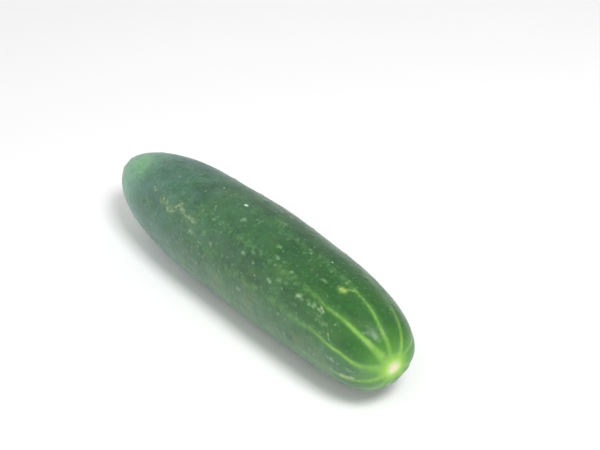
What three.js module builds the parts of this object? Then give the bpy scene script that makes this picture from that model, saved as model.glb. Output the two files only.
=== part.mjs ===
// A slicing cucumber lying on its belly, picked, with nothing fixed to it.
// Millimetres. +X points to the blossom end, +Z is up, and the origin is under the middle of the body's box.
// A place on the skin is given by t, from -1 at the stem end to +1 at the blossom end, and by the angle
// around the body, counted from the +Y side over the top (a quarter turn) to the -Y side (half a turn).

import * as THREE from 'three';
import { mergeVertices } from 'three/addons/utils/BufferGeometryUtils.js';

const DEGREE = Math.PI / 180;

// Driving dimensions of the body
const LENGTH = 210;
const DIAMETER = 54;
const HALF_LENGTH = LENGTH / 2;
const RADIUS = DIAMETER / 2;

// How full and how blunt each end is, and how the body widens from the stem end to the blossom end
const STEM_END = { fullness: 4.4, bluntness: 2.05 };
const BLOSSOM_END = { fullness: 1.74, bluntness: 3.2 };
const TAPER = 0.06;
const SHOULDER = 0.2;

// The body's slight bend to the -Y side: an even bow, and more of it towards the blossom end
const BOW = 3.2;
const SWEEP = 3.3;

// The flat spot on the belly that it lies on
const BELLY_FLAT = 0.7;
const BELLY_ANGLE = -90 * DEGREE;

// Three soft lobes, one over each seed chamber, and the slow unevenness of a grown skin
const LOBES = 3;
const LOBE_DEPTH = 0.25;
const LOBE_ANGLE = 118 * DEGREE;
const SWELL_DEPTH = 0.22;
const SWELL_LENGTH = 63;

// Ten shallow furrows run back from the blossom scar: where each lies, and how far back it reaches
const FURROWS = [
  { angle: 20, reach: 30 },
  { angle: 61, reach: 34 },
  { angle: 92, reach: 44 },
  { angle: 125, reach: 66 },
  { angle: 159, reach: 48 },
  { angle: 196, reach: 32 },
  { angle: 230, reach: 28 },
  { angle: 266, reach: 34 },
  { angle: 301, reach: 40 },
  { angle: 338, reach: 30 },
];
const FURROW_DEPTH = 0.25;
const FURROW_WIDTH = 2.4;

// The blossom scar: a small dimple with a raised rim
const SCAR_RADIUS = 2.7;
const SCAR_DEPTH = 0.55;
const SCAR_RIM = 0.12;

// The stem end: a puckered hollow with the dry stub of the stalk in it
const HOLLOW_RADIUS = 8;
const HOLLOW_DEPTH = 2.2;
const STUB_RADIUS = 3.1;
const STUB_HEIGHT = 2.6;
const STUB_EDGE = 0.6;
const STUB_SIDES = 5;
const STUB_RIBS = 0.08;
const PUCKERS = 10;
const PUCKER_DEPTH = 0.22;

// Low warts, spread over the skin on a spiral that a wave shifts a little
const WARTS = 118;
const WART_SPAN = 190;
const WART_HEIGHT = 0.5;
const WART_TURN = 137.508 * DEGREE;
const WART_STRAY = { along: 3, around: 0.16, alongRate: 17.3, aroundRate: 29.7 };
const WART_CLEARANCE = 9;
const BARE_BELLY = 32 * DEGREE;

// The grid of facets
const SIDES = 56;
const RING_GAP = 3.05;
const TIP_GAP = 0.85;
const GAP_GROWTH = 0.2;
const SLOPE_STEP = 1e-4;
const WART_REACH = 6.5;
const WART_PULL = 0.45;

const SKIN = { color: 0x4a7048, roughness: 0.42, metalness: 0 };

function radiusAt(t) {
  const end = t < 0 ? STEM_END : BLOSSOM_END;
  const inside = Math.max(0, 1 - Math.abs(t) ** end.fullness);
  return RADIUS * inside ** (1 / end.bluntness) * (1 + TAPER * t + SHOULDER * t ** 3);
}

// The skin's outline from the stem end to the blossom end: radius across, place along the body up
class Outline extends THREE.Curve {
  getPoint(share, target = new THREE.Vector2()) {
    const t = -Math.cos(Math.PI * share);
    return target.set(radiusAt(t), t * HALF_LENGTH);
  }
}

const outline = new Outline();
outline.arcLengthDivisions = 4000;

// Ring places along the outline, closer together at the two tips
function ringStations() {
  const total = outline.getLength();
  const fromTip = [0];
  let gap = TIP_GAP;
  while (fromTip.at(-1) + gap < total / 2) {
    fromTip.push(fromTip.at(-1) + gap);
    gap = Math.min(RING_GAP, gap + GAP_GROWTH);
  }
  const stemHalf = fromTip.map((distance) => distance / total);
  const blossomHalf = stemHalf.map((share) => 1 - share).reverse();
  return [...stemHalf, ...blossomHalf];
}

function wrapAngle(angle) {
  return Math.atan2(Math.sin(angle), Math.cos(angle));
}

function smoothStep(low, high, value) {
  return THREE.MathUtils.smoothstep(value, low, high);
}

// How far the skin stands in or out from the smooth body at one place
function relief(t, angle) {
  const radius = radiusAt(t);
  const fullness = radius / RADIUS;
  const along = t * HALF_LENGTH;
  const fromBlossom = HALF_LENGTH - along;
  let height = LOBE_DEPTH * fullness * Math.cos(LOBES * (angle - LOBE_ANGLE));
  height += SWELL_DEPTH * fullness * Math.sin(2 * Math.PI * along / SWELL_LENGTH + 2 * Math.cos(angle));
  for (const furrow of FURROWS) {
    const across = wrapAngle(angle - furrow.angle * DEGREE) * radius;
    const fade = smoothStep(0.1, 0.5, fullness) * (1 - smoothStep(0.4, 1, fromBlossom / furrow.reach));
    height -= FURROW_DEPTH * fade * Math.exp(-((across / FURROW_WIDTH) ** 2));
  }
  if (t > 0) {
    const scar = radius / SCAR_RADIUS;
    height += SCAR_RIM * Math.exp(-(((scar - 1.25) / 0.35) ** 2));
    height -= SCAR_DEPTH * (1 - smoothStep(0.35, 1.1, scar));
  } else {
    const pucker = smoothStep(0.4, 0.8, radius / HOLLOW_RADIUS) * (1 - smoothStep(0.9, 1.7, radius / HOLLOW_RADIUS));
    height += PUCKER_DEPTH * pucker * Math.cos(PUCKERS * angle);
  }
  return height;
}

// How far the stem end is set in along the axis: down into the hollow, and out again over the stub
function stemInset(t, angle) {
  if (t > 0) return 0;
  const radius = radiusAt(t);
  const edge = STUB_RADIUS * (1 + STUB_RIBS * Math.cos(STUB_SIDES * angle));
  const hollow = HOLLOW_DEPTH * (1 - smoothStep(STUB_RADIUS / HOLLOW_RADIUS, 1, radius / HOLLOW_RADIUS));
  const stub = STUB_HEIGHT * (1 - smoothStep(edge - STUB_EDGE, edge + STUB_EDGE, radius));
  return hollow - stub;
}

// The point of the bent skin at one place, with a further lift along the skin's own normal
function skinPoint(t, angle, lift) {
  const share = Math.acos(THREE.MathUtils.clamp(-t, -1, 1)) / Math.PI;
  const before = outline.getPoint(Math.max(0, share - SLOPE_STEP));
  const after = outline.getPoint(Math.min(1, share + SLOPE_STEP));
  const slope = after.sub(before).normalize();
  const height = relief(t, angle) + lift;
  const beyond = stemInset(t, angle) - slope.x * height;
  const out = radiusAt(t) + slope.y * height;
  const side = out * Math.cos(angle);
  const bend = -BOW * t ** 2 - SWEEP * t ** 3;
  const heading = Math.atan((-2 * BOW * t - 3 * SWEEP * t ** 2) / HALF_LENGTH);
  return new THREE.Vector3(
    t * HALF_LENGTH + beyond * Math.cos(heading) - side * Math.sin(heading),
    bend + beyond * Math.sin(heading) + side * Math.cos(heading),
    Math.max(out * Math.sin(angle), BELLY_FLAT - RADIUS),
  );
}

// The way from one place to another over the skin: along the body, and around it
function wayBetween(from, to) {
  const around = wrapAngle(to.angle - from.angle) * radiusAt(from.t);
  return new THREE.Vector2((to.t - from.t) * HALF_LENGTH, around);
}

function wartPlaces() {
  const places = [];
  for (let i = 0; i < WARTS; i++) {
    const spread = (i + 0.5) / WARTS - 0.5;
    const along = spread * WART_SPAN + WART_STRAY.along * Math.sin(WART_STRAY.alongRate * i);
    const angle = i * WART_TURN + WART_STRAY.around * Math.sin(WART_STRAY.aroundRate * i);
    const place = { t: along / HALF_LENGTH, angle };
    const clear = places.every((other) => wayBetween(place, other).length() > WART_CLEARANCE);
    if (clear && Math.abs(wrapAngle(angle - BELLY_ANGLE)) > BARE_BELLY) places.push(place);
  }
  return places;
}

// Slide the grid under each wart until a point meets its top, and draw the points round it in to its foot
function gatherWarts(grid) {
  for (const wart of wartPlaces()) {
    const near = grid.map((point) => ({ point, way: wayBetween(wart, point) }));
    near.sort((a, b) => a.way.length() - b.way.length());
    const top = near[0].way.clone();
    for (const { point, way } of near) {
      if (way.length() > WART_REACH) break;
      const slide = Math.max(0, 1 - (way.distanceTo(top) / WART_REACH) ** 2);
      way.addScaledVector(top, -slide);
      way.multiplyScalar(1 - WART_PULL * Math.max(0, 1 - (way.length() / WART_REACH) ** 2));
      point.t = wart.t + way.x / HALF_LENGTH;
      point.angle = wart.angle + way.y / radiusAt(wart.t);
    }
    near[0].point.lift = WART_HEIGHT;
  }
}

function cucumberGeometry() {
  const profile = ringStations().map((share) => outline.getPointAt(share));
  profile.at(0).x = 0;
  profile.at(-1).x = 0;
  const lathe = new THREE.LatheGeometry(profile, SIDES);
  lathe.deleteAttribute('normal');
  lathe.deleteAttribute('uv');
  const geometry = mergeVertices(lathe, 1e-4);
  const position = geometry.getAttribute('position');
  const grid = [];
  for (let i = 0; i < position.count; i++) {
    const t = position.getY(i) / HALF_LENGTH;
    const angle = Math.atan2(position.getZ(i), -position.getX(i));
    grid.push({ t, angle, lift: 0 });
  }
  gatherWarts(grid);
  grid.forEach(({ t, angle, lift }, i) => {
    const point = skinPoint(t, angle, lift);
    position.setXYZ(i, point.x, point.y, point.z);
  });
  return geometry;
}

// Set the body down with the middle of its box over the origin and its belly at z = 0
function setDown(geometry) {
  geometry.computeBoundingBox();
  const { min, max } = geometry.boundingBox;
  geometry.translate(-(min.x + max.x) / 2, -(min.y + max.y) / 2, -min.z);
  geometry.computeVertexNormals();
  return geometry;
}

const cucumber = new THREE.Mesh(setDown(cucumberGeometry()), new THREE.MeshStandardMaterial(SKIN));
cucumber.name = 'cucumber';

const part = new THREE.Group();
part.add(cucumber);

export default part;
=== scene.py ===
import math
import bpy
import numpy as np
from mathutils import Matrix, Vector, noise


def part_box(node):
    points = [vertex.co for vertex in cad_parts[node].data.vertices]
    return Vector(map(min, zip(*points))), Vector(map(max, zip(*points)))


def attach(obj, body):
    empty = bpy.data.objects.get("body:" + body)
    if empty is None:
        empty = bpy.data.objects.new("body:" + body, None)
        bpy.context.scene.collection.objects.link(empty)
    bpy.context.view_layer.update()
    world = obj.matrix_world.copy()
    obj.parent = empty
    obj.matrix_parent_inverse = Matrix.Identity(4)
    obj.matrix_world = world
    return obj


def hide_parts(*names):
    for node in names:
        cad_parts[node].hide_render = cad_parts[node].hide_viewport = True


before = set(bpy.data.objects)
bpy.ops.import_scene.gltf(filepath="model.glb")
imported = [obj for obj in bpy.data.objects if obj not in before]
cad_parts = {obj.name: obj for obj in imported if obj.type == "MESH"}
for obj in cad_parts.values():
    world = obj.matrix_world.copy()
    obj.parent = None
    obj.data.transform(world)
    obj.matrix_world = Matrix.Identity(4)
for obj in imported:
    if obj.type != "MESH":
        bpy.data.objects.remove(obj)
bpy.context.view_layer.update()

# Sizes are in millimetres and angles in degrees, as in the part; MM turns the mesh into metres.
# A place on the skin is (t, angle): t runs from -1 at the stem end to +1 at the blossom end, and the
# angle goes round the body from the +Y side over the top (90) to the -Y side (180).
MM = 0.001

# The body, as in the solid
LENGTH = 210
DIAMETER = 54
HALF_LENGTH = LENGTH / 2
RADIUS = DIAMETER / 2
STEM_END = (4.4, 2.05)
BLOSSOM_END = (1.74, 3.2)
TAPER = 0.06
SHOULDER = 0.2
BOW = 3.2
SWEEP = 3.3
BELLY_FLAT = 0.7
BELLY_ANGLE = -90
LOBES = 3
LOBE_DEPTH = 0.25
LOBE_ANGLE = 118
SWELL_DEPTH = 0.22
SWELL_LENGTH = 63
SWELL_TWIST = 2

# The unevenness of the skin: how large its features are and how far they stand out, and how the noises
# of different seeds are shifted
BROAD_SIZE = 16
BROAD_HEIGHT = 0.14
FINE_SIZE = 5
FINE_HEIGHT = 0.05
GRIT_SIZE = 1.3
NOISE_SHIFT = (17.3, 5.7, 11.1)

# The furrows round the blossom end, with the pale stripe that runs in each.
# near and far are its angles at the scar and further back, sway bends it aside on the way,
# reach is how far back it goes, and wide, narrow and bright are its half widths and strength.
STRIPES = [
    dict(near=60, far=9, sway=0, reach=36, wide=2.7, narrow=0.8, bright=0.85),
    dict(near=61, far=57, sway=4, reach=44, wide=2.7, narrow=0.8, bright=0.9),
    dict(near=113, far=89, sway=0, reach=60, wide=2.8, narrow=0.8, bright=1.0),
    dict(near=121, far=125, sway=1.5, reach=76, wide=6.6, narrow=0.85, bright=1.0),
    dict(near=163, far=157.8, sway=5.5, reach=70, wide=6.0, narrow=0.75, bright=1.0),
    dict(near=210, far=193, sway=0, reach=44, wide=2.7, narrow=1.0, bright=0.95),
    dict(near=260, far=224, sway=-3, reach=36, wide=3.2, narrow=0.8, bright=0.8),
    dict(near=272, far=264, sway=0, reach=44, wide=3.3, narrow=0.9, bright=0.85),
    dict(near=312, far=300, sway=4, reach=54, wide=3.8, narrow=1.0, bright=1.0),
    dict(near=350, far=336, sway=-3, reach=42, wide=3.2, narrow=0.8, bright=0.85),
]

# How a stripe drifts from near to far, where it sways, and how it narrows, in mm from the tip
STRIPE_DRIFT = 14
STRIPE_SWAY = (17, 9)
STRIPE_TAPER = 8.5

# The waver of a stripe: two waves, each with its size in degrees, its length and its shift per stripe
STRIPE_WAVER = [(0.8, 5.3, 2.1), (0.6, 2.9, 3.7)]

# Where along a stripe its parts come and go, as shares of its reach
STRIPE_FADE = (0.35, 1)
TRAIL_RISE = (0.25, 0.75)
TRAIL_FADE = (0.9, 2.2)
RIB_RISE = (0.35, 0.9)
FURROW_FADE = (0.4, 1)

# The furrow of a stripe, the share of the radius at which it starts, and the widths of the stripe's glow,
# of its trail and of the rib behind it
FURROW_DEPTH = 0.25
FURROW_WIDTH = 2.4
FURROW_START = (0.1, 0.5)
GLOW_SPREAD = 2.0
TRAIL_WIDTH = 1.8
RIB_WIDTH = 3.2

# The blossom scar: its dimple, rim, cracks and grain. Its places are shares of its radius.
SCAR_RADIUS = 2.7
SCAR_DEPTH = 0.55
SCAR_WALL = (0.35, 1.1)
SCAR_RIM = 0.12
SCAR_RIM_PLACE = 1.25
SCAR_RIM_WIDTH = 0.35
CRACKS = 3
CRACK_DEPTH = 0.16
CRACK_BEND = 2
CRACK_SHARPNESS = 6
CRACK_START = (0.1, 0.3)
CRACK_END = (0.7, 1.0)
SCAR_GRAIN = 0.10
SCAR_GRAIN_END = (0.8, 1.2)

# The stem end: the hollow with the stub of the stalk in it. The puckers' places are shares of its radius.
HOLLOW_RADIUS = 8
HOLLOW_DEPTH = 2.2
STUB_RADIUS = 3.1
STUB_HEIGHT = 2.6
STUB_GRAIN = 0.25
STUB_EDGE = 0.6
STUB_SIDES = 5
STUB_RIBS = 0.08
PUCKERS = 10
PUCKER_DEPTH = 0.22
PUCKER_START = (0.4, 0.8)
PUCKER_END = (0.9, 1.7)

# Warts, at the same places as in the solid, from WART_LEAST to WART_LEAST + WART_SPREAD times WART_SIZE
WARTS = 118
WART_SPAN = 190
WART_HEIGHT = 0.24
WART_SIZE = 1.4
WART_LEAST = 0.85
WART_SPREAD = 0.3
WART_BEAT = 5.1
WART_TURN = 137.508
WART_STRAY_ALONG = (3, 17.3)
WART_STRAY_AROUND = (0.16, 29.7)
WART_CLEARANCE = 9
BARE_BELLY = 32

# The fine grid: its steps along the skin, its columns around the body, and the samples of its outline
STEP_MIDDLE = 0.62
STEP_TIP = 0.22
STEP_GROWTH = 0.012
COLUMNS = 232
OUTLINE_SAMPLES = 20001

# Blemishes: each stroke is (along, angle, along, angle, half width), along in mm from the middle of the
# body towards the blossom end. The first of each kind are on the side that the camera sees.
NET_STROKES = [
    (-47, 139, -42, 141, 2.8),
    (-39, 143, -35, 137, 2.6),
    (-35, 132, -30, 136, 2.0),
    (-27, 139, -20, 138, 1.8),
    (-57, 133, -55, 134, 1.3),
    (22, 246, 34, 252, 2.2),
    (-14, 33, -9, 29, 1.6),
    (-7, 31, -3, 26, 1.3),
]
CORK_STROKES = [
    (71, 130, 74, 132, 0.7),
    (92, 195, 97.5, 192.5, 1.3),
    (57.3, 136, 58.2, 135, 0.6),
    (-62, 345, -56, 348, 1.4),
]
PALE_STROKES = [
    (38, 141, 40, 142, 1.0),
    (43, 135.5, 44.5, 135, 1.1),
    (47.5, 133.5, 48.5, 133.5, 1.1),
    (46.5, 121, 47.5, 121, 0.8),
    (57.5, 136, 58.5, 134.5, 1.5),
    (60, 137, 61, 136, 1.0),
    (63, 133.5, 66, 133, 1.1),
    (65, 136, 68, 134, 0.8),
    (67, 132, 73, 134, 0.7),
    (70, 139, 74, 138, 0.8),
    (73, 144, 79, 141, 1.1),
    (81.5, 148, 83.5, 154, 0.5),
    (87, 175, 88, 176, 1.2),
    (89, 178, 91, 176, 1.1),
    (94, 177, 98, 179, 0.8),
    (69, 192, 70, 192, 0.9),
    (84, 175, 85, 175, 0.8),
    (39, 166, 39.5, 166, 0.8),
    (21, 171, 23, 171, 1.0),
    (3, 108, 4.5, 107, 1.1),
    (9, 99, 12, 98, 0.9),
    (16, 84, 21, 81, 1.1),
    (30.5, 109, 32, 108, 0.9),
    (35, 118, 36, 119, 1.0),
    (32, 126, 33, 127, 0.8),
    (22, 129, 23, 129, 0.9),
    (17, 135, 18, 135, 0.9),
    (25, 136, 26, 137, 0.9),
    (-1, 143, 0, 143, 0.8),
    (-20, 149, -18.5, 149, 1.2),
    (-5, 147, -4, 147, 0.9),
    (-12, 144, -10.5, 143, 0.8),
    (-42, 106, -41, 107, 0.9),
    (61, 107, 64, 106, 0.8),
]
BRIGHT_SPECKS = [
    (-4.4, 91, -3.3, 90.7, 0.9),
    (-23.5, 87, -23.2, 87, 0.4),
    (-13.5, 117, -13.3, 117, 0.4),
    (55, 82, 55.3, 82, 0.45),
    (-52, 20, -51.7, 20, 0.5),
    (31, 305, 31.4, 305, 0.5),
]
YELLOW_SPOT = (71.6, 100.7, 73.2, 100.2, 1.9)
STRIPE_HOOK = (77, 89.5, 73.5, 96, 0.8)
STEM_PATCH = (-84, 111, -79, 118, 7.0)

# How far the corky scuffs and the net stand out, how deep the scratches are, how much the flecks vary in
# strength and by which beat, and how bright the hooked stripe is
CORK_HEIGHT = 0.12
CORK_SOLIDITY = 0.6
NET_HEIGHT = 0.10
SCRATCH_DEPTH = 0.05
FLECK_UNEVENNESS = 0.5
STROKE_BEAT = 2.3
HOOK_BRIGHT = 0.8

# Scratches all over: where they lie, how long and how slanted (radians) they are, and their half widths
SCRATCHES = 46
SCRATCH_SEED = 7
SCRATCH_SPAN = (-90, 92)
SCRATCH_LENGTH = (1.0, 5.0)
SCRATCH_SLANT = (-0.9, 0.9)
SCRATCH_HALF_WIDTH = (0.3, 0.55)

# Chains of flecks over the far side: where they start, and the count, spacing and size of their flecks
FLECK_CHAINS = 15
FLECK_SEED = 11
CHAIN_SPAN = (-75, 60)
CHAIN_ANGLES = (195, 425)
CHAIN_COUNT = (2, 6)
CHAIN_GAP = (3, 7)
CHAIN_SWAY = (-5, 5)
FLECK_LENGTH = (0, 3)
FLECK_SLANT = (-3, 3)
FLECK_HALF_WIDTH = (0.8, 1.5)

# The underside, by the height of the skin above the middle as a share of the radius
UNDERSIDE = (0, 0.65)

# Colours of the skin, linear
DEEP_GREEN = (0.011, 0.062, 0.018, 1)
MID_GREEN = (0.024, 0.106, 0.029, 1)
FRESH_GREEN = (0.020, 0.122, 0.010, 1)
DARK_GREEN = (0.008, 0.040, 0.013, 1)
WARM_GREEN = (0.056, 0.118, 0.018, 1)
GLOW_GREEN = (0.11, 0.32, 0.045, 1)
STRIPE_GREEN = (0.205, 0.415, 0.076, 1)
TRAIL_GREEN = (0.115, 0.27, 0.085, 1)
HALO_GREEN = (0.285, 0.545, 0.064, 1)
HALO_PALE = (0.52, 0.70, 0.28, 1)
# The two haze colours are partly wax bloom and partly painted sheen: the reflection of the white
# surroundings, painted into the colour.
SHEEN_AND_BLOOM_GREY = (0.097, 0.194, 0.121, 1)
SHEEN_AND_BLOOM_BLUE = (0.108, 0.215, 0.200, 1)
# Painted warm light reflected onto the underside.
PAINTED_BOUNCE_OLIVE = (0.145, 0.205, 0.105, 1)
STEM_GREEN = (0.165, 0.40, 0.185, 1)
STEM_PALE = (0.222, 0.435, 0.310, 1)
COLLAR_GREEN = (0.080, 0.220, 0.068, 1)
RIB_GREEN = (0.095, 0.22, 0.085, 1)
SPECK_PALE = (0.30, 0.45, 0.29, 1)
FLECK_PALE = (0.34, 0.53, 0.29, 1)
BRIGHT_PALE = (0.47, 0.62, 0.53, 1)
NET_OLIVE = (0.088, 0.160, 0.060, 1)
NET_PALE = (0.31, 0.43, 0.27, 1)
CORK_TAN = (0.38, 0.47, 0.24, 1)
YELLOW = (0.42, 0.50, 0.15, 1)
SCAR_CREAM = (0.69, 0.67, 0.43, 1)
SCAR_PINK = (0.62, 0.50, 0.35, 1)
STUB_TAN = (0.40, 0.39, 0.22, 1)
STUB_DARK = (0.10, 0.10, 0.045, 1)

# The noises of the skin: features per metre, detail and roughness
PATCH_NOISE = (42, 4, 0.55)
FIBRE_NOISE = (420, 4, 0.6)
WARM_NOISE = (80, 5, 0.6)
HAZE_NOISE = (95, 8, 0.75)
OLIVE_NOISE = (60, 4, 0.6)
PIT_NOISE = (210, 6, 0.7)
MOTTLE_NOISE = (170, 6, 0.65)
FINE_MOTTLE_NOISE = (380, 4, 0.6)
RAGGED_NOISE = (430, 4, 0.6)
WORN_NOISE = (150, 4, 0.6)
DRIFT_NOISE = (55, 3, 0.6)
MARK_NOISE = (560, 4, 0.65)
BLOT_NOISE = (610, 3, 0.6)
SCAR_NOISE = (700, 4, 0.6)
STUB_NOISE = (800, 4, 0.6)
GLOSS_NOISE = (120, 5, 0.6)
PEEL_NOISE = (520, 3, 0.5)
GRAIN_NOISE = (1500, 2, 0.6)

# The scale of the fibres along each axis, and the middle value of a noise
FIBRE_STRETCH = (0.18, 1, 1)
NOISE_MIDDLE = 0.5

# The dots in the net and the flecks, in cells per metre
MARK_CELLS = 640

# Each band below turns a noise, a field or a distance into a strength, which goes smoothly from the third
# number, at the first, to the fourth, at the second. A band of two numbers goes from 0 to 1.

# Distances from the blossom tip, in mm
SCAR_REACH = (2.4, 5.2, 1.0, 0.0)
PALE_REACH = (3.2, 7.0, 0.5, 0.0)
HALO_REACH = (3.8, 10.8, 1.0, 0.0)
GLOW_REACH = (5, 28, 0.9, 0.0)
FRESH_REACH = (40, 125, 0.8, 0.0)
SPECK_START = (5, 14)

# Distances from the stem tip, in mm
COLLAR_REACH = (14, 42, 0.8, 0.0)
STEM_PALE_REACH = (13, 64, 0.95, 0.0)
# Where the grey-blue haze lies, by distance from the stem end: partly wax bloom, partly painted sheen of the
# white surroundings.
SHEEN_AND_BLOOM_REACH = (15, 185, 0.8, 0.06)
BLUE_TO_GREY = (45, 135)
OLIVE_START = (60, 120)

# How far a noise moves the edges of these, in mm
SCAR_STRAY = 2.4
HALO_STRAY = 3
GLOW_STRAY = 7
FRESH_STRAY = 60
COLLAR_STRAY = 16
STEM_PALE_STRAY = 14

# The ground of the skin
MID_BAND = (0.36, 0.64)
FRESH_BAND = (0.42, 0.72, 0.0, 0.4)
WARM_BAND = (0.48, 0.72, 0.0, 0.45)
HAZE_BAND = (0.3, 0.7, 0.35, 1.0)
OLIVE_BAND = (0.42, 0.68, 0.0, 0.5)
FIBRE_BAND = (0.5, 0.8, 0.0, 0.35)
PIT_BAND = (0.5, 0.72, 0.0, 0.4)
# How strongly the underside takes the grey haze: partly a paler belly, partly painted light reflected from
# the floor.
UNDERSIDE_SHEEN_AND_BLOOM = 0.84
STEM_PATCH_STRENGTH = 0.7

# The stripes and what lies round them
TRAIL_BAND = (0.38, 0.7, 0.05, 0.5)
RIB_BAND = (0.45, 0.75, 0.0, 0.35)
WORN_BAND = (0.35, 0.62, 0.5, 1.0)
STRIPE_BAND = (0.1, 1.15)
STRIPE_RAGGEDNESS = 0.45
GLOW_STRENGTH = 0.27

# The blemishes and the warts, and how strongly a noise breaks up their edges
DOT_SIZE_BAND = (0.1, 0.75, 1.0, 0.0)
DOT_CHANCE_BAND = (0.15, 0.75)
NET_BAND = (0.5, 1.6)
NET_BREAKS = 3.2
NET_EDGE_BAND = (0.12, 0.5)
NET_DOT_BAND = (0, 1, 0.55, 0.85)
NET_GROUND_STRENGTH = 0.5
CORK_BAND = (0.25, 1.2)
CORK_BREAKS = 2.0
CORK_STRENGTH = 0.75
FLECK_BAND = (0.1, 1.2, 0.0, 0.5)
FLECK_BREAKS = 1.9
FLECK_DOT_BAND = (0, 1, 0.75, 1)
SCRATCH_BAND = (0.5, 1.1, 0.0, 0.4)
YELLOW_RING_BAND = (0.0, 0.9, 0.0, 0.45)
YELLOW_BAND = (0.5, 1.25, 0.0, 0.85)
YELLOW_BREAKS = 0.8
BRIGHT_BAND = (0.3, 0.8)
WART_BAND = (0.72, 1.15, 0.0, 0.7)
WART_BREAKS = 0.5

# The blossom scar and the stem stub
SCAR_PINK_BAND = (0.5, 0.75, 0.0, 0.7)
STUB_BAND = (0.15, 0.6)
STUB_DARK_BAND = (0.4, 0.7)
STUB_EDGE_BAND = (0.4, 0.95, 0.85, 0.0)

# The drifts of the pale specks, and which of the cells hold them
DRIFT_BAND = (0.36, 0.7, 0.2, 1.0)
RIB_DRIFT = 0.25
SPECK_CHANCE = (0.2, 1.0)

# Three sizes of pale specks: cells per metre, the largest speck and its soft edge as shares of a cell
SPECK_KINDS = [
    dict(scale=330, largest=0.2, softness=0.22, strength=0.28),
    dict(scale=520, largest=0.28, softness=0.12, strength=0.17),
    dict(scale=200, largest=0.13, softness=0.07, strength=0.37),
]

# Roughness of the clean skin, and how much the haze of wax bloom and painted sheen and the marks add to it
GLOSS_BAND = (0.3, 0.7, 0.31, 0.42)
HAZE_ROUGHNESS = 0.12
MARK_ROUGHNESS = 0.3

# Relief too fine for the mesh: its depth in metres and its strength
PEEL_BUMP = (0.0002, 0.35)
GRAIN_BUMP = (0.00006, 0.4)
MARK_BUMP = (0.00015, 0.6)

# The wax and the fine bloom on the skin
SKIN_SHINE = {
    "IOR": 1.41,
    "Coat Weight": 0.04,
    "Coat Roughness": 0.25,
    "Sheen Weight": 0.13,
    "Sheen Roughness": 0.35,
    "Sheen Tint": (0.75, 0.88, 1.0, 1),
}

# The floor: its reach in metres, its tones and its roughness
FLOOR_REACH = 7.0
FLOOR_TONES = [(0.90, 0.90, 0.90, 1), (0.93, 0.93, 0.93, 1)]
FLOOR_NOISE = (3, 2, 0.5)
FLOOR_ROUGHNESS = 0.75

# The dome of light dims towards DIM_SIDE, as a direction's product with it goes from DIM_FROM to DIM_TO
DIM_SIDE = (0.35, 0.80, 0.35)
DOME_BRIGHT = 0.86
DOME_DIM = 0.5
DIM_FROM = -0.6
DIM_TO = 0.9
WHITE = (1, 1, 1, 1)

# The lamps: name, place and size in metres, and watts
LAMPS = [
    ("key", (0.55, -0.09, 0.93), 0.32, 7.6),
    ("low_panel", (-1.4, -2.4, 0.5), 2.25, 15.6),
]
LAMP_AIM = (0, 0, 0.02)

# The camera, from the outline of the body in the photograph
VIEW_AZIMUTH = 49.19
VIEW_ELEVATION = 35
VIEW_DISTANCE = 610
VIEW_TARGET = (-3.5, 33.4)
LENS = 72
SENSOR = 36


def smooth_step(low, high, value):
    x = np.clip((value - low) / (high - low), 0, 1)
    return x * x * (3 - 2 * x)


def bell(distance, width):
    return np.exp(-((distance / width) ** 2))


def wrap_angle(angle):
    return (angle + 180) % 360 - 180


def radius_at(t):
    stem = np.maximum(0, 1 - np.abs(t) ** STEM_END[0]) ** (1 / STEM_END[1])
    blossom = np.maximum(0, 1 - np.abs(t) ** BLOSSOM_END[0]) ** (1 / BLOSSOM_END[1])
    return RADIUS * np.where(t < 0, stem, blossom) * (1 + TAPER * t + SHOULDER * t ** 3)


def ring_stations():
    """The t of each ring and its distance over the skin from the stem end, closer together at the tips."""
    t = -np.cos(np.linspace(0, math.pi, OUTLINE_SAMPLES))
    steps = np.hypot(np.diff(t * HALF_LENGTH), np.diff(radius_at(t)))
    arc = np.concatenate([[0], np.cumsum(steps)])
    total = arc[-1]
    from_tip = [STEP_TIP]
    gap = STEP_TIP
    while from_tip[-1] + gap < total / 2:
        from_tip.append(from_tip[-1] + gap)
        gap = min(STEP_MIDDLE, gap + STEP_GROWTH)
    near = np.array(from_tip)
    stations = np.concatenate([near, total - near[::-1]])
    return np.interp(stations, arc, t), stations, total


def way(along, angle, place_along, place_angle):
    """The way over the skin from a place to each grid point: along the body, and around it."""
    place_radius = radius_at(np.array(place_along / HALF_LENGTH))
    around = np.radians(wrap_angle(angle - place_angle)) * place_radius
    return along - place_along, around


def wart_places():
    places = []
    for i in range(WARTS):
        spread = (i + 0.5) / WARTS - 0.5
        along = spread * WART_SPAN + WART_STRAY_ALONG[0] * math.sin(WART_STRAY_ALONG[1] * i)
        turn = math.radians(WART_TURN) * i
        angle = math.degrees(turn + WART_STRAY_AROUND[0] * math.sin(WART_STRAY_AROUND[1] * i))
        ways = [way(other[0], other[1], along, angle) for other in places]
        clear = all(math.hypot(a, b) > WART_CLEARANCE for a, b in ways)
        if clear and abs(wrap_angle(angle - BELLY_ANGLE)) > BARE_BELLY:
            places.append((along, angle))
    return places


def wart_field(along, angle):
    """0 to 1: how near each grid point is to the top of a wart."""
    field = np.zeros(along.shape)
    for i, (place_along, place_angle) in enumerate(wart_places()):
        a, b = way(along, angle, place_along, place_angle)
        size = WART_SIZE * (WART_LEAST + WART_SPREAD * math.sin(WART_BEAT * i) ** 2)
        field = np.maximum(field, bell(np.hypot(a, b), size))
    return field


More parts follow.
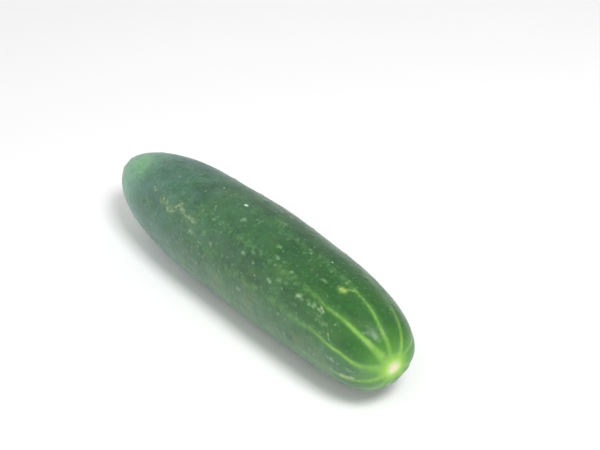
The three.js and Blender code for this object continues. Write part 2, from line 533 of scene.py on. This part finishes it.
def stroke_field(along, angle, strokes, unevenness=0):
    """0 to 1: how near each grid point is to one of the strokes, some of them fainter by up to unevenness."""
    field = np.zeros(along.shape)
    for i, (start_along, start_angle, end_along, end_angle, half_width) in enumerate(strokes):
        a, b = way(along, angle, start_along, start_angle)
        end_a, end_b = way(end_along, end_angle, start_along, start_angle)
        share = np.clip((a * end_a + b * end_b) / (end_a ** 2 + end_b ** 2), 0, 1)
        distance = np.hypot(a - share * end_a, b - share * end_b)
        strength = 1 - unevenness * math.sin(STROKE_BEAT * i) ** 2
        field = np.maximum(field, strength * bell(distance, half_width))
    return field


def scratch_strokes():
    """Short fine scratches all over, from handling, drawn by a seeded generator."""
    draw = np.random.RandomState(SCRATCH_SEED)
    strokes = []
    for _ in range(SCRATCHES):
        along, angle = draw.uniform(*SCRATCH_SPAN), draw.uniform(0, 360)
        length, heading = draw.uniform(*SCRATCH_LENGTH), draw.uniform(*SCRATCH_SLANT)
        end_along = along + length * math.cos(heading)
        end_angle = angle + math.degrees(length * math.sin(heading) / RADIUS)
        strokes.append((along, angle, end_along, end_angle, draw.uniform(*SCRATCH_HALF_WIDTH)))
    return strokes


def fleck_strokes():
    """The flecks of the side that the camera sees, and chains of like ones over the rest, from a seed."""
    draw = np.random.RandomState(FLECK_SEED)
    strokes = list(PALE_STROKES)
    for _ in range(FLECK_CHAINS):
        along, angle = draw.uniform(*CHAIN_SPAN), draw.uniform(*CHAIN_ANGLES)
        for _ in range(draw.randint(*CHAIN_COUNT)):
            along += draw.uniform(*CHAIN_GAP)
            angle += draw.uniform(*CHAIN_SWAY)
            end_along, end_angle = along + draw.uniform(*FLECK_LENGTH), angle + draw.uniform(*FLECK_SLANT)
            strokes.append((along, angle, end_along, end_angle, draw.uniform(*FLECK_HALF_WIDTH)))
    return strokes


def stripe_fields(angle, radius, from_tip):
    """0 to 1 each: the furrows, the pale stripes, their glow, their trails, and the ribs behind them."""
    fields = {name: np.zeros(angle.shape) for name in ("furrow", "stripe", "glow", "trail", "rib")}
    start = smooth_step(*FURROW_START, radius / RADIUS)
    drift = np.exp(-from_tip / STRIPE_DRIFT)
    sway = bell(from_tip - STRIPE_SWAY[0], STRIPE_SWAY[1])
    narrowing = np.exp(-from_tip / STRIPE_TAPER)
    for i, stripe in enumerate(STRIPES):
        waver = sum(size * np.sin(from_tip / length + shift * i) for size, length, shift in STRIPE_WAVER)
        middle = stripe["far"] + (stripe["near"] - stripe["far"]) * drift + stripe["sway"] * sway + waver
        across = np.radians(wrap_angle(angle - middle)) * radius
        half_width = stripe["narrow"] + (stripe["wide"] - stripe["narrow"]) * narrowing
        share = from_tip / stripe["reach"]
        fade = 1 - smooth_step(*STRIPE_FADE, share)
        trail = smooth_step(*TRAIL_RISE, share) * (1 - smooth_step(*TRAIL_FADE, share))
        parts = {
            "furrow": start * (1 - smooth_step(*FURROW_FADE, share)) * bell(across, FURROW_WIDTH),
            "stripe": stripe["bright"] * fade * bell(across, half_width),
            "glow": fade * bell(across, GLOW_SPREAD * half_width),
            "trail": trail * bell(across, TRAIL_WIDTH),
            "rib": smooth_step(*RIB_RISE, share) * bell(across, RIB_WIDTH),
        }
        for name, part in parts.items():
            fields[name] = np.maximum(fields[name], part)
    return fields


def noise_field(points, scale, seed):
    """Smooth noise from -1 to 1 at the given points, with features about as large as scale."""
    offset = Vector([seed * shift for shift in NOISE_SHIFT])
    values = [noise.noise(Vector(p) / scale + offset) for p in points.reshape(-1, 3).tolist()]
    return np.array(values).reshape(points.shape[:-1])


def scar_relief(turn, radius, grit):
    """The height of the blossom scar, by its radius: its rim, its dimple, and the cracks and grain in it."""
    scar = radius / SCAR_RADIUS
    cracks = np.maximum(0, np.sin(CRACKS * turn + CRACK_BEND * np.sin(turn))) ** CRACK_SHARPNESS
    cracks *= smooth_step(*CRACK_START, scar) * (1 - smooth_step(*CRACK_END, scar))
    height = SCAR_RIM * bell(scar - SCAR_RIM_PLACE, SCAR_RIM_WIDTH)
    height -= SCAR_DEPTH * (1 - smooth_step(*SCAR_WALL, scar))
    height -= CRACK_DEPTH * cracks
    return height + SCAR_GRAIN * grit * (1 - smooth_step(*SCAR_GRAIN_END, scar))


def pucker_relief(turn, radius):
    """The height of the puckers round the hollow at the stem end."""
    share = radius / HOLLOW_RADIUS
    puckered = smooth_step(*PUCKER_START, share) * (1 - smooth_step(*PUCKER_END, share))
    return PUCKER_DEPTH * puckered * np.cos(PUCKERS * turn)


def bent_points(t, turn, out, beyond):
    """The points of the bent body, from the distance out of its axis and the shift along it."""
    side = out * np.cos(turn)
    bend = -BOW * t ** 2 - SWEEP * t ** 3
    heading = np.arctan((-2 * BOW * t - 3 * SWEEP * t ** 2) / HALF_LENGTH)
    x = t * HALF_LENGTH + beyond * np.cos(heading) - side * np.sin(heading)
    y = bend + beyond * np.sin(heading) + side * np.cos(heading)
    z = np.maximum(out * np.sin(turn), BELLY_FLAT - RADIUS)
    return np.stack([x, y, z], axis=-1)


def skin_grid():
    """The grid over the skin: its points in millimetres, and the fields that its material reads."""
    t, from_stem, total = ring_stations()
    slope_along = np.gradient(t * HALF_LENGTH, from_stem)[:, None]
    slope_out = np.gradient(radius_at(t), from_stem)[:, None]
    steep = np.hypot(slope_along, slope_out)
    t, angle = np.meshgrid(t, np.arange(COLUMNS) * 360 / COLUMNS, indexing="ij")
    from_stem = np.repeat(from_stem[:, None], COLUMNS, axis=1)
    turn = np.radians(angle)
    radius = radius_at(t)
    fullness = radius / RADIUS
    along = t * HALF_LENGTH
    blossom = t > 0

    straight = np.stack([along, radius * np.cos(turn), radius * np.sin(turn)], axis=-1)
    broad = noise_field(straight, BROAD_SIZE, seed=1)
    fine = noise_field(straight, FINE_SIZE, seed=2)
    grit = noise_field(straight, GRIT_SIZE, seed=3)

    fields = stripe_fields(angle, radius, total - from_stem)
    furrow = fields.pop("furrow")
    hook = HOOK_BRIGHT * stroke_field(along, angle, [STRIPE_HOOK])
    edge = STUB_RADIUS * (1 + STUB_RIBS * np.cos(STUB_SIDES * turn))
    stub = 1 - smooth_step(edge - STUB_EDGE, edge + STUB_EDGE, radius)
    fields.update({
        "stripe": np.maximum(fields["stripe"], hook),
        "tip": total - from_stem,
        "stem": from_stem,
        "wart": wart_field(along, angle),
        "cork": stroke_field(along, angle, CORK_STROKES),
        "net": stroke_field(along, angle, NET_STROKES),
        "fleck": stroke_field(along, angle, fleck_strokes(), FLECK_UNEVENNESS),
        "scratch": stroke_field(along, angle, scratch_strokes()),
        "bright": stroke_field(along, angle, BRIGHT_SPECKS),
        "yellow": stroke_field(along, angle, [YELLOW_SPOT]),
        "underside": 1 - smooth_step(*UNDERSIDE, np.sin(turn)),
        "patch": stroke_field(along, angle, [STEM_PATCH]),
        "stub": np.where(blossom, 0, stub),
    })

    swell_turn = 2 * math.pi * along / SWELL_LENGTH + SWELL_TWIST * np.cos(turn)
    height = LOBE_DEPTH * fullness * np.cos(LOBES * (turn - math.radians(LOBE_ANGLE)))
    height += SWELL_DEPTH * fullness * np.sin(swell_turn)
    height += fullness * (BROAD_HEIGHT * broad + FINE_HEIGHT * fine)
    height += WART_HEIGHT * fields["wart"] - FURROW_DEPTH * furrow
    height += CORK_HEIGHT * fields["cork"] * (CORK_SOLIDITY + grit)
    height += NET_HEIGHT * fields["net"] * np.abs(grit)
    height -= SCRATCH_DEPTH * fields["scratch"]
    height += np.where(blossom, scar_relief(turn, radius, grit), pucker_relief(turn, radius))

    hollow = HOLLOW_DEPTH * (1 - smooth_step(STUB_RADIUS / HOLLOW_RADIUS, 1, radius / HOLLOW_RADIUS))
    inset = np.where(blossom, 0, hollow - (STUB_HEIGHT + STUB_GRAIN * grit) * stub)
    out = radius + slope_along / steep * height
    beyond = inset - slope_out / steep * height
    return bent_points(t, turn, out, beyond), fields


def closed_mesh(name, points, fields):
    """A closed mesh of the grid's rings, with one point on each tip, and a point attribute for each field."""
    rings, columns = points.shape[:2]
    tips = [points[0].mean(axis=0), points[-1].mean(axis=0)]
    vertices = np.concatenate([points.reshape(-1, 3), tips]) * MM
    faces = []
    for ring in range(rings - 1):
        low, high = ring * columns, (ring + 1) * columns
        for column in range(columns):
            after = (column + 1) % columns
            faces.append((low + column, low + after, high + after, high + column))
    stem_tip, blossom_tip = rings * columns, rings * columns + 1
    last = (rings - 1) * columns
    for column in range(columns):
        after = (column + 1) % columns
        faces.append((stem_tip, after, column))
        faces.append((blossom_tip, last + column, last + after))
    mesh = bpy.data.meshes.new(name)
    mesh.from_pydata(vertices.tolist(), [], faces)
    for field, values in fields.items():
        ends = [values[0].mean(), values[-1].mean()]
        layer = mesh.attributes.new(field, "FLOAT", "POINT")
        layer.data.foreach_set("value", np.concatenate([values.ravel(), ends]).astype(np.float32))
    mesh.polygons.foreach_set("use_smooth", np.ones(len(mesh.polygons), dtype=bool))
    mesh.update()
    return mesh


class Nodes:
    """A material's node tree, with a short call for each kind of node."""

    def __init__(self, name):
        self.material = bpy.data.materials.new(name)
        self.material.use_nodes = True
        self.tree = self.material.node_tree
        self.shader = self.tree.nodes["Principled BSDF"]
        place = self.tree.nodes.new("ShaderNodeTexCoord")
        self.place = place.outputs["Object"]

    def put(self, socket, value):
        if isinstance(value, bpy.types.NodeSocket):
            self.tree.links.new(value, socket)
        else:
            socket.default_value = value

    def set(self, node, values):
        for key, value in values.items():
            self.put(node.inputs[key], value)

    def field(self, name):
        node = self.tree.nodes.new("ShaderNodeAttribute")
        node.attribute_name = name
        return node.outputs["Fac"]

    def stretched(self, scale):
        node = self.tree.nodes.new("ShaderNodeMapping")
        self.set(node, {"Vector": self.place, "Scale": scale})
        return node.outputs["Vector"]

    def noise(self, scale, detail, roughness, place=None):
        node = self.tree.nodes.new("ShaderNodeTexNoise")
        values = {"Scale": scale, "Detail": detail, "Roughness": roughness, "Vector": place or self.place}
        self.set(node, values)
        return node.outputs["Fac"]

    def cells(self, scale):
        """The distance from the middle of each cell, and a random number that is the cell's own."""
        node = self.tree.nodes.new("ShaderNodeTexVoronoi")
        self.set(node, {"Scale": scale, "Vector": self.place})
        split = self.tree.nodes.new("ShaderNodeSeparateColor")
        self.set(split, {"Color": node.outputs["Color"]})
        return node.outputs["Distance"], split.outputs["Red"]

    def math(self, operation, first, second, clamp=False):
        node = self.tree.nodes.new("ShaderNodeMath")
        node.operation = operation
        node.use_clamp = clamp
        self.set(node, {0: first, 1: second})
        return node.outputs["Value"]

    def times(self, first, second):
        return self.math("MULTIPLY", first, second)

    def larger(self, first, second):
        return self.math("MAXIMUM", first, second)

    def plus(self, value, other, amount):
        """value plus amount times other. With a noise as the other, a band of it gets an uneven edge."""
        return self.math("ADD", value, self.times(other, amount))

    def band(self, value, low, high, to_low=0.0, to_high=1.0):
        """value taken smoothly from to_low, at low, to to_high, at high."""
        node = self.tree.nodes.new("ShaderNodeMapRange")
        node.interpolation_type = "SMOOTHSTEP"
        values = {"Value": value, "From Min": low, "From Max": high, "To Min": to_low, "To Max": to_high}
        self.set(node, values)
        return node.outputs["Result"]

    def mix(self, share, first, second):
        node = self.tree.nodes.new("ShaderNodeMix")
        node.data_type = "RGBA"
        inputs = {socket.identifier: socket for socket in node.inputs}
        self.put(inputs["Factor_Float"], share)
        self.put(inputs["A_Color"], first)
        self.put(inputs["B_Color"], second)
        outputs = {socket.identifier: socket for socket in node.outputs}
        return outputs["Result_Color"]

    def bump(self, height, distance, strength, normal=None):
        node = self.tree.nodes.new("ShaderNodeBump")
        values = {"Height": height, "Distance": distance, "Strength": strength}
        if normal is not None:
            values["Normal"] = normal
        self.set(node, values)
        return node.outputs["Normal"]


def skin_ground(n, tip, stem, mottle):
    """The green of the skin under its marks, and how much grey haze lies on it: wax bloom, and painted sheen
    and reflected light.
    """
    patches = n.noise(*PATCH_NOISE)
    fibre = n.noise(*FIBRE_NOISE, n.stretched(FIBRE_STRETCH))
    green = n.mix(n.band(patches, *MID_BAND), DEEP_GREEN, MID_GREEN)
    green = n.mix(n.band(mottle, *FRESH_BAND), green, FRESH_GREEN)
    green = n.mix(n.band(n.plus(tip, patches, FRESH_STRAY), *FRESH_REACH), green, FRESH_GREEN)
    green = n.mix(n.band(n.noise(*WARM_NOISE), *WARM_BAND), green, WARM_GREEN)
    underside = n.field("underside")
    # The haze is partly wax bloom and partly painted light: a painted sheen of the white surroundings,
    # strongest towards the stem end, and painted light reflected from the floor on the underside.
    coverage = n.larger(n.band(stem, *SHEEN_AND_BLOOM_REACH), n.times(underside, UNDERSIDE_SHEEN_AND_BLOOM))
    haze = n.times(n.band(n.noise(*HAZE_NOISE), *HAZE_BAND), coverage)
    green = n.mix(haze, green, n.mix(n.band(stem, *BLUE_TO_GREY), SHEEN_AND_BLOOM_BLUE, SHEEN_AND_BLOOM_GREY))
    # Olive patches on the underside, away from the stem end: painted warm light reflected from below.
    olive = n.times(underside, n.band(n.noise(*OLIVE_NOISE), *OLIVE_BAND))
    green = n.mix(n.times(olive, n.band(stem, *OLIVE_START)), green, PAINTED_BOUNCE_OLIVE)
    green = n.mix(n.band(n.plus(stem, patches, STEM_PALE_STRAY), *STEM_PALE_REACH), green, STEM_PALE)
    green = n.mix(n.band(n.plus(stem, patches, COLLAR_STRAY), *COLLAR_REACH), green, COLLAR_GREEN)
    green = n.mix(n.times(n.field("patch"), STEM_PATCH_STRENGTH), green, STEM_GREEN)
    green = n.mix(n.band(fibre, *FIBRE_BAND), green, DARK_GREEN)
    green = n.mix(n.band(n.noise(*PIT_NOISE), *PIT_BAND), green, DARK_GREEN)
    return green, haze


def add_stripes(n, colour, tip, mottle):
    """The faint trails and ribs, the glow, the pale stripes, and the bright halo round the scar."""
    fine_mottle = n.noise(*FINE_MOTTLE_NOISE)
    trail = n.times(n.field("trail"), n.band(fine_mottle, *TRAIL_BAND))
    colour = n.mix(trail, colour, TRAIL_GREEN)
    rib = n.times(n.field("rib"), n.band(fine_mottle, *RIB_BAND))
    colour = n.mix(rib, colour, RIB_GREEN)
    tip_glow = n.band(n.plus(tip, mottle, GLOW_STRAY), *GLOW_REACH)
    colour = n.mix(n.larger(tip_glow, n.times(n.field("glow"), GLOW_STRENGTH)), colour, GLOW_GREEN)
    ragged = n.times(n.math("SUBTRACT", n.noise(*RAGGED_NOISE), NOISE_MIDDLE), STRIPE_RAGGEDNESS)
    worn = n.band(n.noise(*WORN_NOISE), *WORN_BAND)
    stripe = n.times(n.band(n.math("ADD", n.field("stripe"), ragged), *STRIPE_BAND), worn)
    colour = n.mix(stripe, colour, STRIPE_GREEN)
    uneven_tip = n.plus(tip, mottle, HALO_STRAY)
    colour = n.mix(n.band(uneven_tip, *HALO_REACH), colour, HALO_GREEN)
    return n.mix(n.band(uneven_tip, *PALE_REACH), colour, HALO_PALE)


def add_specks(n, colour, tip):
    """Pale specks of many sizes, the larger ones rarer, in drifts, and none at the very tip."""
    drifts = n.band(n.plus(n.noise(*DRIFT_NOISE), n.field("rib"), RIB_DRIFT), *DRIFT_BAND)
    where = n.times(drifts, n.band(tip, *SPECK_START))
    for kind in SPECK_KINDS:
        distance, chance = n.cells(kind["scale"])
        size = n.band(chance, *SPECK_CHANCE, 0.0, kind["largest"])
        inside = n.math("SUBTRACT", size, distance)
        speck = n.band(inside, -kind["softness"], kind["softness"], 0.0, kind["strength"])
        colour = n.mix(n.times(speck, where), colour, SPECK_PALE)
    return colour


def add_blemishes(n, colour):
    """The net, the corky scuffs, the pale flecks and the spots. Also returns how dull and raised they are."""
    fine = n.math("SUBTRACT", n.noise(*MARK_NOISE), NOISE_MIDDLE)
    distance, chance = n.cells(MARK_CELLS)
    dots = n.times(n.band(distance, *DOT_SIZE_BAND), n.band(chance, *DOT_CHANCE_BAND))
    net_field = n.field("net")
    colour = n.mix(n.times(net_field, NET_GROUND_STRENGTH), colour, NET_OLIVE)
    blots = n.math("SUBTRACT", n.noise(*BLOT_NOISE), NOISE_MIDDLE)
    net = n.band(n.plus(net_field, blots, NET_BREAKS), *NET_BAND)
    net = n.times(net, n.band(net_field, *NET_EDGE_BAND))
    colour = n.mix(n.times(net, n.band(dots, *NET_DOT_BAND)), colour, NET_PALE)
    cork = n.band(n.plus(n.field("cork"), fine, CORK_BREAKS), *CORK_BAND)
    colour = n.mix(n.times(cork, CORK_STRENGTH), colour, CORK_TAN)
    fleck = n.band(n.plus(n.field("fleck"), fine, FLECK_BREAKS), *FLECK_BAND)
    fleck = n.times(fleck, n.band(dots, *FLECK_DOT_BAND))
    scratch = n.band(n.math("ADD", n.field("scratch"), fine), *SCRATCH_BAND)
    fleck = n.larger(fleck, scratch)
    colour = n.mix(fleck, colour, FLECK_PALE)
    yellow = n.plus(n.field("yellow"), fine, YELLOW_BREAKS)
    colour = n.mix(n.band(yellow, *YELLOW_RING_BAND), colour, STRIPE_GREEN)
    colour = n.mix(n.band(yellow, *YELLOW_BAND), colour, YELLOW)
    bright = n.band(n.field("bright"), *BRIGHT_BAND)
    colour = n.mix(bright, colour, BRIGHT_PALE)
    return colour, n.larger(n.larger(net, cork), n.larger(fleck, bright))


def add_ends(n, colour, tip, mottle):
    """The blossom scar and the stem stub. Also returns how dull they are."""
    scar = n.band(n.plus(tip, mottle, SCAR_STRAY), *SCAR_REACH)
    scar_colour = n.mix(n.band(n.noise(*SCAR_NOISE), *SCAR_PINK_BAND), SCAR_CREAM, SCAR_PINK)
    colour = n.mix(scar, colour, scar_colour)
    stub_field = n.field("stub")
    stub = n.band(stub_field, *STUB_BAND)
    stub_colour = n.mix(n.band(n.noise(*STUB_NOISE), *STUB_DARK_BAND), STUB_TAN, STUB_DARK)
    stub_colour = n.mix(n.band(stub_field, *STUB_EDGE_BAND), stub_colour, STUB_DARK)
    return n.mix(stub, colour, stub_colour), n.larger(scar, stub)


def skin_material():
    n = Nodes("cucumber_skin")
    tip, stem = n.field("tip"), n.field("stem")
    mottle = n.noise(*MOTTLE_NOISE)
    grain = n.noise(*GRAIN_NOISE)

    colour, sheen_and_bloom = skin_ground(n, tip, stem, mottle)
    colour = add_stripes(n, colour, tip, mottle)
    colour = add_specks(n, colour, tip)
    wart_top = n.plus(n.field("wart"), n.math("SUBTRACT", grain, NOISE_MIDDLE), WART_BREAKS)
    colour = n.mix(n.band(wart_top, *WART_BAND), colour, SPECK_PALE)
    colour, dull_marks = add_blemishes(n, colour)
    colour, dull_ends = add_ends(n, colour, tip, mottle)

    dull = n.larger(dull_marks, dull_ends)
    roughness = n.band(n.noise(*GLOSS_NOISE), *GLOSS_BAND)
    roughness = n.plus(roughness, sheen_and_bloom, HAZE_ROUGHNESS)
    roughness = n.math("ADD", roughness, n.times(dull, MARK_ROUGHNESS), clamp=True)

    normal = n.bump(n.noise(*PEEL_NOISE), *PEEL_BUMP)
    normal = n.bump(grain, *GRAIN_BUMP, normal)
    normal = n.bump(dull, *MARK_BUMP, normal)

    n.set(n.shader, {"Base Color": colour, "Roughness": roughness, "Normal": normal})
    n.set(n.shader, SKIN_SHINE)
    return n.material


def floor_material():
    n = Nodes("pale_floor")
    tone = n.mix(n.noise(*FLOOR_NOISE), *FLOOR_TONES)
    n.set(n.shader, {"Base Color": tone, "Roughness": FLOOR_ROUGHNESS})
    return n.material


def add_object(name, data):
    made = bpy.data.objects.new(name, data)
    bpy.context.scene.collection.objects.link(made)
    return made


def add_cucumber():
    """The fine skin, set where the solid stands. Returns its shift from the grid's place, in mm."""
    points, fields = skin_grid()
    low, high = points.min(axis=(0, 1)), points.max(axis=(0, 1))
    cad_low, cad_high = (np.array(corner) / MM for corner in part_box("cucumber"))
    shift = (cad_low + cad_high) / 2 - (low + high) / 2
    shift[2] = cad_low[2] - low[2]
    fruit = add_object("cucumber_skin", closed_mesh("cucumber_skin", points + shift, fields))
    fruit.data.materials.append(skin_material())
    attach(fruit, "root")
    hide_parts("cucumber")
    return shift


def add_floor():
    reach = FLOOR_REACH
    mesh = bpy.data.meshes.new("floor")
    corners = [(-reach, -reach, 0), (reach, -reach, 0), (reach, reach, 0), (-reach, reach, 0)]
    mesh.from_pydata(corners, [], [(0, 1, 2, 3)])
    floor = add_object("floor", mesh)
    mesh.materials.append(floor_material())


def add_camera(shift):
    azimuth, elevation = math.radians(VIEW_AZIMUTH), math.radians(VIEW_ELEVATION)
    back = Vector((
        math.sin(azimuth) * math.cos(elevation),
        -math.cos(azimuth) * math.cos(elevation),
        math.sin(elevation),
    ))
    target = Vector((VIEW_TARGET[0] + shift[0], VIEW_TARGET[1] + shift[1], shift[2])) * MM
    data = bpy.data.cameras.new("camera")
    data.lens = LENS
    data.sensor_width = SENSOR
    camera = add_object("camera", data)
    camera.location = target + back * VIEW_DISTANCE * MM
    camera.rotation_euler = (-back).to_track_quat("-Z", "Y").to_euler()
    bpy.context.scene.camera = camera


def add_lamp(name, place, size, power):
    data = bpy.data.lights.new(name, "AREA")
    data.size = size
    data.energy = power
    lamp = add_object(name, data)
    lamp.location = place
    lamp.rotation_euler = (Vector(LAMP_AIM) - Vector(place)).to_track_quat("-Z", "Y").to_euler()


def add_studio():
    """A soft white dome, a little dimmer towards one side, with two lamps."""
    world = bpy.data.worlds.new("studio")
    world.use_nodes = True
    tree = world.node_tree
    place = tree.nodes.new("ShaderNodeTexCoord")
    across = tree.nodes.new("ShaderNodeVectorMath")
    across.operation = "DOT_PRODUCT"
    across.inputs[1].default_value = DIM_SIDE
    dim = tree.nodes.new("ShaderNodeMapRange")
    dim.interpolation_type = "SMOOTHSTEP"
    dim.inputs["From Min"].default_value = DIM_FROM
    dim.inputs["From Max"].default_value = DIM_TO
    dim.inputs["To Min"].default_value = DOME_BRIGHT
    dim.inputs["To Max"].default_value = DOME_DIM
    background = tree.nodes["Background"]
    background.inputs["Color"].default_value = WHITE
    tree.links.new(place.outputs["Generated"], across.inputs[0])
    tree.links.new(across.outputs["Value"], dim.inputs["Value"])
    tree.links.new(dim.outputs["Result"], background.inputs["Strength"])
    bpy.context.scene.world = world
    for lamp in LAMPS:
        add_lamp(*lamp)


shift = add_cucumber()
add_floor()
add_camera(shift)
add_studio()
bpy.context.scene.view_settings.view_transform = "Standard"
